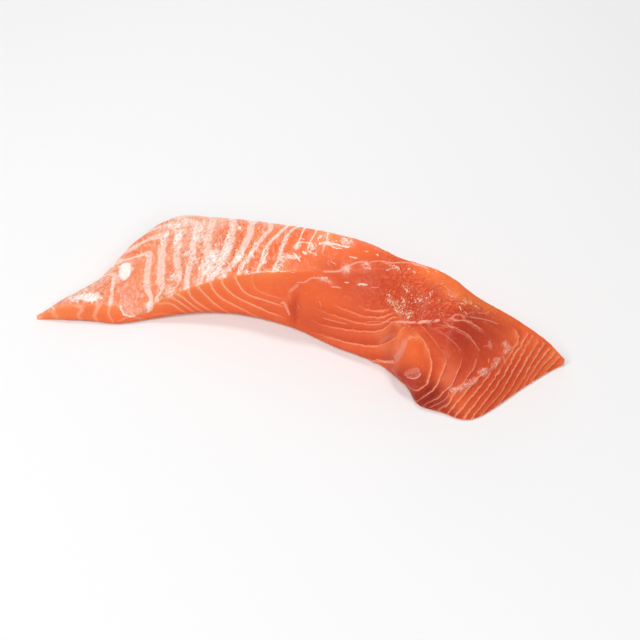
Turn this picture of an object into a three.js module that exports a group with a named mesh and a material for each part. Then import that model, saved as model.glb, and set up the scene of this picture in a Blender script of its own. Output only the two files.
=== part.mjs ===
import * as THREE from 'three';

// A raw piece of salmon: one long strip cut across a skinned fillet, lying on its flat underside.
// Millimetres, +Z up, the floor at Z = 0. X runs from the thin belly tip to the thick back tip,
// and -Y is the cut face, where the muscle shows its rings and fat lines.

// Each slice is one upright cut through the strip, between its two feet [x, y] on the floor.
// Its other corners are [inset from the nearer foot, height]: the crease halfway up the cut face,
// the shoulder where the cut face meets the inner side, and the ridge along the far side.
const slices = [
  { front: [-89, -19], crease: [0.2, 0.4], shoulder: [0.3, 0.8], ridge: [0.3, 0.9], back: [-89.5, -18] },
  { front: [-80, -16.5], crease: [0.3, 2.8], shoulder: [1.6, 5.2], ridge: [1.6, 4.8], back: [-84, -9.5] },
  { front: [-70, -14], crease: [0.6, 2.8], shoulder: [2.4, 6.2], ridge: [2.2, 6.6], back: [-76, 7] },
  { front: [-61, -12], crease: [0.6, 2.4], shoulder: [3.8, 5.8], ridge: [2.6, 10], back: [-72, 28] },
  { front: [-51, -5.5], crease: [0.2, 3], shoulder: [1.2, 6.6], ridge: [2.4, 15.8], back: [-61, 39.5] },
  { front: [-38, 2], crease: [0.2, 6], shoulder: [0.6, 12.6], ridge: [2.8, 19.6], back: [-42, 40] },
  { front: [-22, 6], crease: [0.6, 9], shoulder: [2.2, 17.8], ridge: [3.2, 24.4], back: [-23, 36.5] },
  { front: [-4, 5], crease: [1.6, 11.4], shoulder: [4.8, 22.4], ridge: [3.4, 27.2], back: [-4, 35] },
  { front: [14, 0], crease: [3.2, 11], shoulder: [14.8, 24.6], ridge: [5, 29], back: [14, 33.5] },
  { front: [30, -3.5], crease: [4.6, 15.6], shoulder: [19.2, 30], ridge: [12, 31.4], back: [31, 30] },
  { front: [42, -11], crease: [6.4, 22.2], shoulder: [22.6, 32.4], ridge: [13, 33.2], back: [44, 26.7] },
  { front: [48.5, -18.6], crease: [15.2, 23.8], shoulder: [29.6, 31], ridge: [12.8, 30.6], back: [51, 26.3] },
  { front: [56, -19.8], crease: [18.2, 23.4], shoulder: [30.4, 26.2], ridge: [12.6, 25.8], back: [59, 26] },
  { front: [67.5, -19.2], crease: [30, 13.4], shoulder: [35, 15.8], ridge: [7, 16.4], back: [70, 26] },
  { front: [78.5, 1], crease: [14, 6.6], shoulder: [18, 9], ridge: [3.4, 9.2], back: [80.5, 24] },
  { front: [88, 18.5], crease: [0.4, 1.4], shoulder: [0.6, 2.4], ridge: [0.5, 2.4], back: [88.5, 20.5] },
];

// How far each corner is rounded back along its sides, and the even steps along the flat that follows it.
const corners = [
  { name: 'front', round: 3.5, steps: 4 },
  { name: 'crease', round: 7, steps: 4 },
  { name: 'shoulder', round: 2.5, steps: 5 },
  { name: 'ridge', round: 5, steps: 5 },
  { name: 'back', round: 3.5, steps: 1 },
];
const largestRound = 0.42; // most of a side that one rounded corner may take up
const arcSteps = 4;        // facets in each rounded corner
const alongSteps = 90;     // slices lofted from tip to tip

// Soft mounds (+) and hollows (-) of the flesh: where, how far each reaches, how far it stands out.
const swells = [
  { at: [38, -9, 11], reach: [5.5, 8, 9], out: 2.6 },     // the muscle cone near the thick end
  { at: [29, -3, 8], reach: [5, 6, 7], out: -2 },         // the hollow beside it
  { at: [40, 6, 27], reach: [15, 7, 7], out: 1.4 },       // the smooth muscle above the crease
  { at: [58, 0, 18], reach: [8, 10, 7], out: -0.9 },      // the dark muscle between cone and flakes
  { at: [-62, 8, 8], reach: [8, 12, 8], out: -0.8 },      // the thin belly sagging behind its rim
  { at: [-30, 20, 21], reach: [16, 12, 8], out: 0.9 },    // the crown of the inner side
  { at: [44, 25, 17], reach: [20, 8, 13], out: 2.4 },     // the full far side of the thick end
  { at: [52, 4, 26], reach: [7, 6, 6], out: 1 },          // the shoulder above the dark muscle
];
const liftOff = 5;         // height over which the swells fade out towards the flat underside
const tension = 0.5;       // how tightly the lines through the slices bend

// One smooth line from tip to tip through the same corner of every slice.
function rail(name) {
  const points = slices.map((slice) => {
    const [frontX, frontY] = slice.front;
    const [backX, backY] = slice.back;
    const across = new THREE.Vector3(backX - frontX, backY - frontY, 0).normalize();
    if (name === 'front') return new THREE.Vector3(frontX, frontY, 0);
    if (name === 'back') return new THREE.Vector3(backX, backY, 0);
    const [inset, height] = slice[name];
    const foot = name === 'ridge' ? slice.back : slice.front;
    const inward = name === 'ridge' ? -inset : inset;
    return new THREE.Vector3(foot[0], foot[1], height).addScaledVector(across, inward);
  });
  return new THREE.CatmullRomCurve3(points, false, 'catmullrom', tension);
}

// The point on the side from one corner towards the next where the rounding of that corner starts.
function roundingStart(corner, next, round) {
  const length = corner.distanceTo(next);
  return corner.clone().lerp(next, Math.min(round / length, largestRound));
}

// The closed outline of one slice: rounded corners joined by straight sides.
function outline(points) {
  const count = points.length;
  const arcs = points.map((point, i) => {
    const before = points[(i + count - 1) % count];
    const after = points[(i + 1) % count];
    const { round } = corners[i];
    const start = roundingStart(point, before, round);
    const end = roundingStart(point, after, round);
    return new THREE.QuadraticBezierCurve3(start, point, end).getPoints(arcSteps);
  });
  return arcs.flatMap((arc, i) => {
    const from = arc[arc.length - 1];
    const to = arcs[(i + 1) % count][0];
    const { steps } = corners[i];
    const side = Array.from({ length: steps - 1 }, (_, k) => from.clone().lerp(to, (k + 1) / steps));
    return [...arc, ...side];
  });
}

function smoothStep(value, end) {
  return THREE.MathUtils.smoothstep(value, 0, end);
}

// How far the flesh stands out at a point, all swells together.
function swellAt(point) {
  const sum = swells.reduce((total, { at, reach, out }) => {
    const distance = point.toArray().reduce((d, value, i) => d + ((value - at[i]) / reach[i]) ** 2, 0);
    return total + out * Math.exp(-distance);
  }, 0);
  return sum * smoothStep(point.z, liftOff);
}

// Slices lofted from tip to tip and closed by a fan at each end.
function loftedStrip() {
  const rails = corners.map(({ name }) => rail(name));
  const rings = Array.from({ length: alongSteps + 1 }, (_, i) =>
    outline(rails.map((line) => line.getPoint(i / alongSteps))));
  const around = rings[0].length;
  const positions = rings.flat().flatMap((point) => point.toArray());
  const faces = [];
  for (let i = 0; i < alongSteps; i += 1) {
    for (let j = 0; j < around; j += 1) {
      const next = (j + 1) % around;
      const a = i * around + j;
      const b = i * around + next;
      const c = a + around;
      const d = b + around;
      faces.push(a, d, b, a, c, d);
    }
  }
  for (const [ring, flip] of [[0, false], [alongSteps, true]]) {
    const centre = new THREE.Vector3();
    rings[ring].forEach((point) => centre.addScaledVector(point, 1 / around));
    const tip = positions.length / 3;
    positions.push(...centre.toArray());
    for (let j = 0; j < around; j += 1) {
      const a = ring * around + j;
      const b = ring * around + ((j + 1) % around);
      faces.push(...(flip ? [b, a, tip] : [a, b, tip]));
    }
  }
  const geometry = new THREE.BufferGeometry();
  geometry.setAttribute('position', new THREE.Float32BufferAttribute(positions, 3));
  geometry.setIndex(faces);
  return geometry;
}

// Pushes the flesh out and in along its own normals.
function addSwells(geometry) {
  geometry.computeVertexNormals();
  const { position, normal } = geometry.attributes;
  const point = new THREE.Vector3();
  const away = new THREE.Vector3();
  for (let i = 0; i < position.count; i += 1) {
    point.fromBufferAttribute(position, i);
    away.fromBufferAttribute(normal, i);
    point.addScaledVector(away, swellAt(point));
    position.setXYZ(i, point.x, point.y, point.z);
  }
  geometry.computeVertexNormals();
  return geometry;
}

// Sets the strip over the origin, the middle of the floor rectangle it covers.
function centred(geometry) {
  geometry.computeBoundingBox();
  const middle = geometry.boundingBox.getCenter(new THREE.Vector3());
  return geometry.translate(-middle.x, -middle.y, 0);
}

const flesh = new THREE.MeshStandardMaterial({ color: 0xee7447, roughness: 0.38, metalness: 0 });
const salmonPiece = new THREE.Mesh(centred(addSwells(loftedStrip())), flesh);
salmonPiece.name = 'salmon_piece';

const part = new THREE.Group();
part.add(salmonPiece);

export default part;
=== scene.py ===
import math
from functools import partialmethod
from itertools import product

import bmesh
import bpy
import numpy as np
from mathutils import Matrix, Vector


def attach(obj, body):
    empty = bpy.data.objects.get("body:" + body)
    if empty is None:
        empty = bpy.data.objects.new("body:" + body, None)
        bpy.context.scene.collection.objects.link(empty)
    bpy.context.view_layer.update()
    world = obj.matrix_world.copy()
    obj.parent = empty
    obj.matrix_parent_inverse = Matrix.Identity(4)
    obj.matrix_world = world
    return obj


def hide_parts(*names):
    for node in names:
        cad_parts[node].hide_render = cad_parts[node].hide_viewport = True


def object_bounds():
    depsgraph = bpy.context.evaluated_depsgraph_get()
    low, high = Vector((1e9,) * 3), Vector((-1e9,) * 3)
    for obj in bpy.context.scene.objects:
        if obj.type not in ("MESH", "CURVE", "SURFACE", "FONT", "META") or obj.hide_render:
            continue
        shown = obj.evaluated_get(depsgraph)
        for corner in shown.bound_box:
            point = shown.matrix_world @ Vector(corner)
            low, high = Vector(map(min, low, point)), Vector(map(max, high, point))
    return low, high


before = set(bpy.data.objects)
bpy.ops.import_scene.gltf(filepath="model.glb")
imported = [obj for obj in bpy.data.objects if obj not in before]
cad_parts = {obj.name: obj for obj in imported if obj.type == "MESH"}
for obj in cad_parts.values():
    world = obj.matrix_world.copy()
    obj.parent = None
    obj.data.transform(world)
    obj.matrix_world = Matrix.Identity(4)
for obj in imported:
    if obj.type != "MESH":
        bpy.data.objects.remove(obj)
cadLow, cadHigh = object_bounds()
mm = 0.001
print("frame loaded, the piece is", [round(v / mm, 1) for v in cadHigh - cadLow], "mm")

camera = {
    "azimuth": 20,          # degrees round the piece, from straight in front of the cut face
    "elevation": 38,        # degrees above the floor
    "distance": 536,        # mm from the point it looks at
    "lens": 90,
    "looksAt": (9.1, -10.5, 12),   # mm from the middle of the floor under the piece
}

studio = {
    "floor": (0.88, 0.88, 0.88),
    "floorReach": 3,        # metres from the middle to each side
    "world": 0.40,
    # name: (azimuth, elevation, distance mm, size mm, watts)
    "lamps": {
        "softboxBack": (195, 65, 700, 120, 1.2),
        "softboxLeft": (-50, 50, 700, 260, 1.6),
        "softboxFront": (35, 38, 800, 400, 2.0),
        "softboxRim": (200, 18, 700, 500, 0.6),
    },
}


def aimed(name, data, looksAt, azimuth, elevation, distance):
    # a camera or a lamp set round a point, in mm from the middle of the floor under the piece
    a, e = math.radians(azimuth), math.radians(elevation)
    away = Vector((math.sin(a) * math.cos(e), -math.cos(a) * math.cos(e), math.sin(e)))
    middle = (cadLow + cadHigh) / 2
    middle.z = 0
    thing = bpy.data.objects.new(name, data)
    thing.location = middle + (Vector(looksAt) + away * distance) * mm
    thing.rotation_mode = "QUATERNION"
    thing.rotation_quaternion = away.to_track_quat("Z", "Y")
    bpy.context.scene.collection.objects.link(thing)
    return thing


def makeCamera():
    data = bpy.data.cameras.new("camera")
    data.lens = camera["lens"]
    data.sensor_width = 36
    data.clip_start = 0.01
    place = camera["azimuth"], camera["elevation"], camera["distance"]
    bpy.context.scene.camera = aimed("camera", data, camera["looksAt"], *place)


def makeLamps():
    for name, (*place, size, watts) in studio["lamps"].items():
        data = bpy.data.lights.new(name, "AREA")
        data.shape = "DISK"
        data.size = size * mm
        data.energy = watts
        aimed(name, data, (0, 0, 0), *place)
    world = bpy.data.worlds.new("studio")
    world.use_nodes = True
    sky = world.node_tree.nodes["Background"]
    sky.inputs["Color"].default_value = (1, 1, 1, 1)
    sky.inputs["Strength"].default_value = studio["world"]
    bpy.context.scene.world = world
    bpy.context.scene.view_settings.view_transform = "Standard"


def makeFloor():
    mesh = bpy.data.meshes.new("floor")
    reach = studio["floorReach"]
    corners = [(-reach, -reach, 0), (reach, -reach, 0), (reach, reach, 0), (-reach, reach, 0)]
    mesh.from_pydata(corners, [], [(0, 1, 2, 3)])
    floor = bpy.data.objects.new("floor", mesh)
    floor.location = (0, 0, cadLow.z)
    bpy.context.scene.collection.objects.link(floor)
    material = bpy.data.materials.new("paleFloor")
    material.use_nodes = True
    shader = material.node_tree.nodes["Principled BSDF"]
    shader.inputs["Base Color"].default_value = (*studio["floor"], 1)
    shader.inputs["Roughness"].default_value = 0.9
    mesh.materials.append(material)


makeCamera()
makeLamps()
makeFloor()
print("camera, lamps and floor made")

strip = {
    # one row per upright slice, millimetres: both feet (x, y) on the floor, and between them
    # the other corners as (inset from the nearer foot, height)
    "slices": [
        # front foot      crease        shoulder       ridge         back foot
        ((-89, -19), (0.2, 0.4), (0.3, 0.8), (0.3, 0.9), (-89.5, -18)),
        ((-80, -16.5), (0.3, 2.8), (1.6, 5.2), (1.6, 4.8), (-84, -9.5)),
        ((-70, -14), (0.6, 2.8), (2.4, 6.2), (2.2, 6.6), (-76, 7)),
        ((-61, -12), (0.6, 2.4), (3.8, 5.8), (2.6, 10), (-72, 28)),
        ((-51, -5.5), (0.2, 3), (1.2, 6.6), (2.4, 15.8), (-61, 39.5)),
        ((-38, 2), (0.2, 6), (0.6, 12.6), (2.8, 19.6), (-42, 40)),
        ((-22, 6), (0.6, 9), (2.2, 17.8), (3.2, 24.4), (-23, 36.5)),
        ((-4, 5), (1.6, 11.4), (4.8, 22.4), (3.4, 27.2), (-4, 35)),
        ((14, 0), (3.2, 11), (14.8, 24.6), (5, 29), (14, 33.5)),
        ((30, -3.5), (4.6, 15.6), (19.2, 30), (12, 31.4), (31, 30)),
        ((42, -11), (6.4, 22.2), (22.6, 32.4), (13, 33.2), (44, 26.7)),
        ((48.5, -18.6), (15.2, 23.8), (29.6, 31), (12.8, 30.6), (51, 26.3)),
        ((56, -19.8), (18.2, 23.4), (30.4, 26.2), (12.6, 25.8), (59, 26)),
        ((67.5, -19.2), (30, 13.4), (35, 15.8), (7, 16.4), (70, 26)),
        ((78.5, 1), (14, 6.6), (18, 9), (3.4, 9.2), (80.5, 24)),
        ((88, 18.5), (0.4, 1.4), (0.6, 2.4), (0.5, 2.4), (88.5, 20.5)),
    ],
    # front, crease, shoulder, ridge and back: how far each corner is rounded back, the facets in
    # its arc, and in the side that follows it
    "corners": [(3.5, 8, 46), (7, 10, 32), (2.0, 8, 72), (5, 10, 22), (3.5, 6, 16)],
    "largestRound": 0.42,    # most of a side that one rounded corner may take up
    # soft mounds (+) and hollows (-): middle, reach along each axis, how far it stands out
    "swells": [((38, -9, 11), (5.5, 8, 9), 2.6), ((29, -3, 8), (5, 6, 7), -2.0),
               ((40, 6, 27), (15, 7, 7), 1.4), ((58, 0, 18), (8, 10, 7), -0.9),
               ((-62, 8, 8), (8, 12, 8), -0.8), ((-30, 20, 21), (16, 12, 8), 0.9),
               ((44, 25, 17), (20, 8, 13), 2.4), ((52, 4, 26), (7, 6, 6), 1.0)],
    "liftOff": 5,       # height over which the swells fade out towards the flat underside
    "alongSteps": 424,
    "lengthSamples": 2000,   # places at which the way along the strip is measured
}


def smooth(value, zero, one):
    # a soft step between the values at which it is 0 and 1, rising or falling
    t = np.clip((value - zero) / (one - zero), 0, 1)
    return t * t * (3 - 2 * t)


def catmullRom(points, steps):
    # the curve through the points at evenly spread parameters, its ends carried on straight
    padded = np.concatenate([[2 * points[0] - points[1]], points, [2 * points[-1] - points[-2]]])
    steps = np.clip(steps, 0, len(points) - 1 - 1e-9)
    i = steps.astype(int)
    f = (steps - i)[:, None]
    before, here, there, after = (padded[i + k] for k in range(4))
    pull, push = (there - before) / 2, (after - here) / 2
    return (here + pull * f + (3 * (there - here) - 2 * pull - push) * f ** 2
            + (2 * (here - there) + pull + push) * f ** 3)


def cornerPoints(feet):
    front, crease, shoulder, ridge, back = feet
    front, back = np.array(front, float), np.array(back, float)
    inward = (back - front) / np.linalg.norm(back - front)
    insets = ((front, 0, 0), (front, *crease), (front, *shoulder), (back, -ridge[0], ridge[1]), (back, 0, 0))
    return [(*(foot + inward * inset), height) for foot, inset, height in insets]


def towards(here, there, rounding):
    # where the rounding of a corner starts on the side to the next one
    reach = np.linalg.norm(there - here, axis=1, keepdims=True)
    return here + (there - here) * np.minimum(rounding / reach, strip["largestRound"])


def stripGrid():
    # slices by points around, in mm, and where each corner's arc starts around the slice
    corners = np.array([cornerPoints(feet) for feet in strip["slices"]]).swapaxes(0, 1)
    fine = np.linspace(0, len(strip["slices"]) - 1, strip["lengthSamples"])
    walk = np.mean([catmullRom(points, fine) for points in corners], axis=0)
    length = np.concatenate([[0], np.cumsum(np.linalg.norm(np.diff(walk, axis=0), axis=1))])
    steps = np.interp(np.linspace(0, length[-1], strip["alongSteps"] + 1), length, fine)
    rails = [catmullRom(points, steps) for points in corners]
    arcs = []
    for before, here, after, (rounding, arcSteps, _) in zip(
            rails[-1:] + rails, rails, rails[1:] + rails[:1], strip["corners"]):
        start, end = towards(here, before, rounding)[:, None], towards(here, after, rounding)[:, None]
        t = np.linspace(0, 1, arcSteps + 1)[:, None]
        arcs.append((1 - t) ** 2 * start + 2 * t * (1 - t) * here[:, None] + t ** 2 * end)
    parts, marks = [], []
    for arc, nextArc, (_, _, sideSteps) in zip(arcs, arcs[1:] + arcs[:1], strip["corners"]):
        marks.append(sum(part.shape[1] for part in parts))
        t = np.linspace(0, 1, sideSteps + 1)[1:-1, None]
        parts += [arc, arc[:, -1:] * (1 - t) + nextArc[:, :1] * t]
    return np.concatenate(parts, axis=1), marks


def changes(values):
    # how values change over two steps of the grid, along the strip and around it
    return 2 * np.gradient(values, axis=0), np.roll(values, -1, axis=1) - np.roll(values, 1, axis=1)


def pushedOut(grid, out):
    normal = np.cross(*changes(grid))
    size = np.linalg.norm(normal, axis=2, keepdims=True)
    return grid + normal / np.maximum(size, 1e-9) * out[..., None]


def addSwells(grid):
    out = sum(height * np.exp(-(((grid - at) / reach) ** 2).sum(axis=2))
              for at, reach, height in strip["swells"])
    return pushedOut(grid, out * smooth(grid[..., 2], 0, strip["liftOff"]))


def centred(grid):
    low, high = grid.min(axis=(0, 1)), grid.max(axis=(0, 1))
    return grid - (low + high) / 2 * [1, 1, 0]


def stripMesh(name, grid, attributes):
    rows, around = grid.shape[:2]

    def closed(values):
        # the grid as one list, with the middle of each end slice after it
        return np.concatenate([values.reshape(-1, 3), [values[0].mean(axis=0), values[-1].mean(axis=0)]])

    index = np.arange(rows * around).reshape(rows, around)
    nextIndex = np.roll(index, -1, axis=1)
    faces = np.stack([index[:-1], index[1:], nextIndex[1:], nextIndex[:-1]], axis=-1).reshape(-1, 4).tolist()
    for row, tip in ((0, rows * around), (-1, rows * around + 1)):
        faces += [(a, b, tip) for a, b in zip(index[row].tolist(), nextIndex[row].tolist())]
    mesh = bpy.data.meshes.new(name)
    mesh.from_pydata(closed(grid) * mm, [], faces)
    for label, values in attributes.items():
        layer = mesh.attributes.new(label, "FLOAT_VECTOR", "POINT")
        layer.data.foreach_set("vector", closed(values).astype(np.float32).ravel())
    made = bmesh.new()
    made.from_mesh(mesh)
    bmesh.ops.remove_doubles(made, verts=made.verts, dist=0.03 * mm)
    bmesh.ops.recalc_face_normals(made, faces=made.faces)
    made.to_mesh(mesh)
    made.free()
    mesh.polygons.foreach_set("use_smooth", [True] * len(mesh.polygons))
    thing = bpy.data.objects.new(name, mesh)
    bpy.context.scene.collection.objects.link(thing)
    return thing


# Each family of lines is given by a few of them, numbered in order across the piece. A line is
# a list of points (x, b): x along the strip, b millimetres up over the surface from the front foot.
# The lines in between follow from these, because the numbering is spread smoothly over the surface.
septa = {
    "bands": {       # broad pale bands on the inner side, hooked over near the far rim
        0: [(-62.8, 2), (-64.3, 4.7), (-64.7, 7.2), (-65.8, 10.9), (-67, 14), (-68.6, 18.4), (-70.4, 23)],
        1: [(-51.5, 4), (-51.9, 8.2), (-55.3, 13.4), (-58.5, 20), (-60.7, 27.3), (-62.6, 31.6),
            (-67.1, 31.3), (-70, 30.2)],
        2: [(-50, 8), (-50, 13), (-52.4, 17.3), (-54.6, 23), (-57, 29.5), (-59.2, 37.2), (-61, 39),
            (-64, 39.2), (-67.1, 38.2), (-70.5, 35.5)],
        3: [(-45, 12.5), (-45.2, 16), (-48.7, 23), (-51.8, 31), (-55, 39.4), (-57.5, 42), (-61, 43.8),
            (-66, 43.8)],
        4: [(-40.6, 10.5), (-42.3, 16.4), (-44, 23.5), (-46.6, 32.3), (-49.5, 42), (-52.5, 45.2),
            (-57, 46.6)],
        5: [(-36.4, 12), (-38, 20), (-38.4, 25), (-40.9, 31.5), (-42.5, 36.6), (-43.6, 42)],
        6: [(-32.4, 12.5), (-33.1, 15.5), (-31.8, 27.1), (-32, 30.5), (-34.8, 40.5), (-37.5, 46.8)],
        7: [(-28.2, 14), (-28.6, 17.5), (-26.2, 23.2), (-26.1, 34), (-29, 45)],
        8: [(-23.1, 17), (-23, 21.2), (-21.6, 28), (-20.5, 35), (-19.2, 38), (-21.8, 44.5)],
        9: [(-16.8, 19), (-17, 24), (-17.6, 29.8), (-16.4, 34), (-14.6, 39), (-14, 42), (-15.5, 44.5)],
        10: [(-11.4, 21), (-11.4, 25.5), (-12.2, 31), (-12.4, 35.3), (-11.4, 39.2), (-10, 43)],
        11: [(-7.1, 31), (-7.3, 37.4), (-7.6, 43.6)],
        12: [(-3.3, 35.5), (-3, 40.8), (-3.6, 43.4)],
        13: [(2.2, 37), (1.9, 40), (0.8, 44)],
    },
    "cut": {         # thin lines that sweep down the cut face from the shoulder
        -1: [(-73, 0), (-74.5, 2.5), (-73.5, 5), (-76, 6.5)],
        0: [(-67, 0), (-69, 2.5), (-68.3, 6), (-69.5, 8)],
        1: [(-61.4, 0), (-62.8, 1.8), (-64.3, 4), (-64.6, 6.5)],
        3: [(-50, 8), (-48.8, 6.4), (-45.5, 6), (-43, 3.5), (-40, 0)],
        5: [(-43.5, 9.7), (-41, 7), (-38.5, 4), (-34.5, 0)],
        6: [(-40, 10.7), (-38.5, 7), (-35.5, 3.7), (-31, 0)],
        7: [(-37, 12), (-34.5, 8.5), (-31.5, 4.7), (-26, 0)],
        8: [(-32.8, 13.5), (-32, 11), (-29.5, 7.3), (-25, 4.7), (-17, 1)],
        9: [(-29, 15), (-28.5, 12.5), (-26, 9.5), (-22, 7), (-12, 4)],
        10: [(-24.5, 16), (-22.5, 12), (-19.5, 9.5), (-12, 8.5), (-6, 8)],
        11: [(-18.5, 18), (-18, 14), (-16.3, 12), (-12, 11), (-5, 11)],
    },
    "rings": {       # rings round the muscle cone, running on as the flakes of the thick tip
        0: [(45, 12)],
        1: [(42, 20.3), (46.5, 20), (49.3, 18), (51.2, 14.5), (51.5, 11), (50.5, 7), (48.5, 4.5), (46, 2.6),
            (42, 1)],
        2: [(44.5, 23.8), (49.5, 22.5), (53, 20), (55.8, 16.8), (55.4, 13.8), (54.8, 11), (53.6, 6.7),
            (52, 4.8), (49, 1.5)],
        3: [(46.5, 25), (52, 25), (56, 23.5), (59.4, 20.5), (59.8, 17), (59.4, 12.6), (58.6, 9.2), (57, 6.8),
            (55, 3.9), (52, 1.6)],
        4: [(49.5, 27), (53.5, 28), (57.5, 27.2), (61, 26), (63.8, 24), (64.2, 19), (63, 14.8), (61.6, 10.2),
            (59.8, 6), (59.6, 4), (57, 0.9)],
        5: [(53.5, 29.5), (58, 31), (63, 30.5), (67.5, 29), (69.3, 25), (67.6, 19.5), (65.6, 15), (63.8, 10),
            (61.8, 5), (60, 1.6)],
        6: [(57, 32.3), (62, 33.5), (67, 33.5), (71, 29), (71.5, 24), (69.6, 19.5), (68.1, 15), (66.4, 10),
            (64.2, 5), (62.6, 1)],
        8: [(73.9, 20), (73.3, 15), (71.6, 10), (69.7, 5), (67.3, 0)],
        9: [(76.6, 20), (75.6, 15), (74.5, 10), (73.3, 5), (70.6, 1.5)],
        10: [(79.3, 17.4), (78.4, 15), (77.3, 10), (76, 5), (74.3, 1)],
        11: [(81.8, 16), (79.7, 10), (78.9, 5.6), (77.8, 2)],
        12: [(83.2, 9.8), (81.5, 7.6), (80.6, 5), (79.8, 2)],
        13: [(85.2, 6.7), (82.8, 4.1), (81.6, 1.5)],
    },
}
nearRings = {        # the same rings on the near side of the cone, where they flatten out
    1: [(41.5, 17.5), (40.8, 14), (39.6, 10.5), (37.5, 7), (34.6, 3.8), (31, 1), (27.5, 0)],
    2: [(38.8, 20), (36.5, 14.5), (33, 9.3), (30, 6.5), (26, 5), (18, 3.9), (8, 2.5)],
    3: [(37.5, 20.8), (34, 17.5), (31.5, 13.7), (28, 10.7), (24, 9.6), (16, 7.9), (8, 6.4)],
    4: [(36, 20.8), (33.5, 18.3), (30, 14.7), (25, 12.5), (17, 11.5), (7, 11.2)],
}

# line number: thickness in mm
thickness = {
    "bands": {-2: 0.6, 0: 0.7, 1: 2.1, 2: 2.5, 3: 1.9, 4: 1.9, 5: 2.2, 6: 2.5, 7: 2.4, 8: 1.5, 9: 1.05,
              10: 0.8, 11: 0.5, 14: 0.4},
    "cut": {-2: 1.2, 0: 1.2, 1: 0.6, 14: 0.55},
    "rings": {0: 0.4, 1: 0.5, 3: 0.45, 5: 0.55, 7: 0.75, 14: 0.7},
}

# Soft spots here and below are (x, b, reach x, reach b, amount in tenths).
slim = {             # where the lines run slimmer
    "bands": [(-67.5, 31.5, 4, 3.5, 6.8), (-66.5, 38.5, 3.5, 2.5, 5), (-62, 43.5, 5, 2.5, 5),
              (-50, 10, 4, 4, 6), (-45, 14, 2, 4, 4), (-53, 46, 5, 2, 4), (-21, 40, 3, 4, 2)],
    "cut": [],
    "rings": [(46, 25.5, 8, 3, 4)],
}

# x along the strip: how far the flap hangs over the cut face, and how high the crease lies, in mm
edges = {
    "hem": {-62.5: 0, -60.5: 1.8, -59: 3.3, -57: 4, -53: 3.2, -51: 2.6, -50: 0},
    "crease": {10: 14, 20: 17, 38: 21.5, 44: 24, 49: 26.5, 53: 29.3, 57: 31, 62: 33, 70: 40, 80: 50},
}


def densely(line, spacing=2.0):
    # places set closely along a smooth curve through the points of a line
    counts = [max(1, round(math.dist(here, there) / spacing)) for here, there in zip(line, line[1:])]
    steps = [k + i / count for k, count in enumerate(counts) for i in range(count)] + [len(counts)]
    return catmullRom(np.array([line[0], *line, line[-1]], float), 1 + np.array(steps))


def thinPlate(points, values, where, slack=0.5, parts=40):
    # the smoothest sheet over the plane that has these values at these points
    def kernel(a, b):
        square = ((a[:, None] - b[None]) ** 2).sum(axis=2) + 1e-12
        return square * np.log(square) / 2

    def flat(a):
        return np.column_stack([np.ones(len(a)), a])

    system = np.block([[kernel(points, points) + slack * np.eye(len(points)), flat(points)],
                       [flat(points).T, np.zeros((3, 3))]])
    weights = np.linalg.solve(system, np.concatenate([values, np.zeros(3)]))
    return np.concatenate([kernel(part, points) @ weights[:-3] + flat(part) @ weights[-3:]
                           for part in np.array_split(where, parts)])


def phaseOf(lines, along, up):
    # whole numbers lie on the lines, so the fraction says where a point lies between two of them
    numbers, dense = zip(*[(number, densely(line)) for number, line in lines])
    values = np.repeat(np.array(numbers, float), [len(line) for line in dense])
    where = np.column_stack([along.ravel(), up.ravel()])
    return thinPlate(np.concatenate(dense), values, where).reshape(along.shape)


def byPlace(table, where):
    # a table read in between its entries
    return np.interp(where, list(table), list(table.values()))


def blobs(along, up, spots):
    # soft spots added together, never more than 1
    total = np.zeros(along.shape)
    for x, b, reachX, reachB, tenths in spots:
        total += tenths / 10 * np.exp(-((along - x) / reachX) ** 2 - ((up - b) / reachB) ** 2)
    return np.clip(total, 0, 1)


def lumps(points, size, seed, side=48):
    # smooth noise between -1 and 1, its lumps about size millimetres across
    table = np.random.default_rng(seed).uniform(-1, 1, (side, side, side))
    scaled = points / size
    cell = np.floor(scaled).astype(int)
    part = smooth(scaled - cell, 0, 1)
    total = np.zeros(points.shape[:-1])
    for corner in product((0, 1), repeat=3):
        weight = np.prod(np.where(corner, part, 1 - part), axis=-1)
        at = (cell + corner) % side
        total += weight * table[at[..., 0], at[..., 1], at[..., 2]]
    return total


def aroundDistance(grid, start):
    # millimetres over the surface from one rail of the grid, all the way round
    turned = np.roll(grid, -start, axis=1)
    step = np.linalg.norm(np.diff(turned, axis=1, prepend=turned[:, :1]), axis=2)
    return np.roll(np.cumsum(step, axis=1), start, axis=1)


def perMillimetre(phase, grid):
    # how fast the numbering changes over the surface
    slopes = [change / np.maximum(np.linalg.norm(step, axis=2), 0.05)
              for change, step in zip(changes(phase), changes(grid))]
    return np.clip(np.hypot(*slopes), 0.05, 1.2)


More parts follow.
